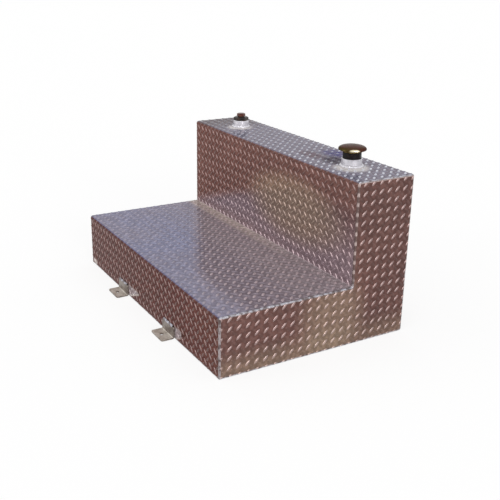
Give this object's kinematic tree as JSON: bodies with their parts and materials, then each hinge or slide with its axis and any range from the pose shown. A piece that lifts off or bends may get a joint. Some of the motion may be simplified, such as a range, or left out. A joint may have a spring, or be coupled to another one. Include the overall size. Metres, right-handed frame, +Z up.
{
  "type": "truck bed transfer tank",
  "caption": "Stepped fuel tank of folded and welded tread plate with baffles inside, a capped filler neck, a plugged port and hold-down brackets.",
  "frame": {"origin": "middle of the tank's base, on the face that it stands on", "axes": "+X along the tank, across the truck, towards the filler end; +Y towards the tall back part; +Z up"},
  "size_m": [1.0682, 0.7328, 0.6019],
  "materials": {
    "tread_plate": "mirror-bright tread plate with raised lugs",
    "plain_sheet": "mill-finish sheet",
    "weld_bead": "rippled TIG bead, bright",
    "bung": "turned, bright",
    "neck_pipe": "dark steel pipe",
    "cap_plating": "yellow-passivated pressed steel",
    "port_iron": "dark malleable iron",
    "plug_iron": "dark red-brown iron",
    "bracket": "bare folded angle, dull",
    "seal": "nitrile"
  },
  "bodies": {
    "tank": {"front_wrap": "tread_plate", "back_wrap": "tread_plate", "left_end_panel": "tread_plate", "right_end_panel": "tread_plate", "left_baffle": "plain_sheet", "right_baffle": "plain_sheet", "left_end_weld": "weld_bead", "right_end_weld": "weld_bead", "left_base_weld": "weld_bead", "right_base_weld": "weld_bead", "top_seam_weld": "weld_bead", "base_seam_weld": "weld_bead", "filler_bung": "bung", "filler_bung_weld": "weld_bead", "filler_neck": "neck_pipe", "port_bung": "bung", "port_bung_weld": "weld_bead", "port_bushing": "port_iron", "left_bracket": "bracket", "left_bracket_weld": "weld_bead", "right_bracket": "bracket", "right_bracket_weld": "weld_bead"},
    "filler_cap_seal": {"filler_cap_gasket": "seal"},
    "filler_cap": {"filler_cap_cover": "cap_plating", "filler_cap_hub": "cap_plating"},
    "port_plug_seal": {"port_plug_oring": "seal"},
    "port_plug": {"port_plug": "plug_iron"}
  },
  "joints": [
    {"name": "filler_cap_rise", "type": "slide", "parent": "tank", "child": "filler_cap_seal", "axis": [0, 0, 1], "range_m": [0, 0.01162]},
    {"name": "filler_cap_turn", "type": "hinge", "parent": "filler_cap_seal", "child": "filler_cap", "pos_m": [0.3556, 0.23495, 0.5919], "axis": [0, 0, 1], "range_deg": [0, 1890]},
    {"name": "port_plug_rise", "type": "slide", "parent": "tank", "child": "port_plug_seal", "axis": [0, 0, 1], "range_m": [0, 0.01362]},
    {"name": "port_plug_turn", "type": "hinge", "parent": "port_plug_seal", "child": "port_plug", "pos_m": [-0.3556, 0.23495, 0.5721], "axis": [0, 0, 1], "range_deg": [0, 2700]}
  ],
  "couplings": [
    {"joint": "filler_cap_rise", "follows": "filler_cap_turn", "m_per_rad": 0.00035152},
    {"joint": "port_plug_rise", "follows": "port_plug_turn", "m_per_rad": 0.00028875}
  ]
}
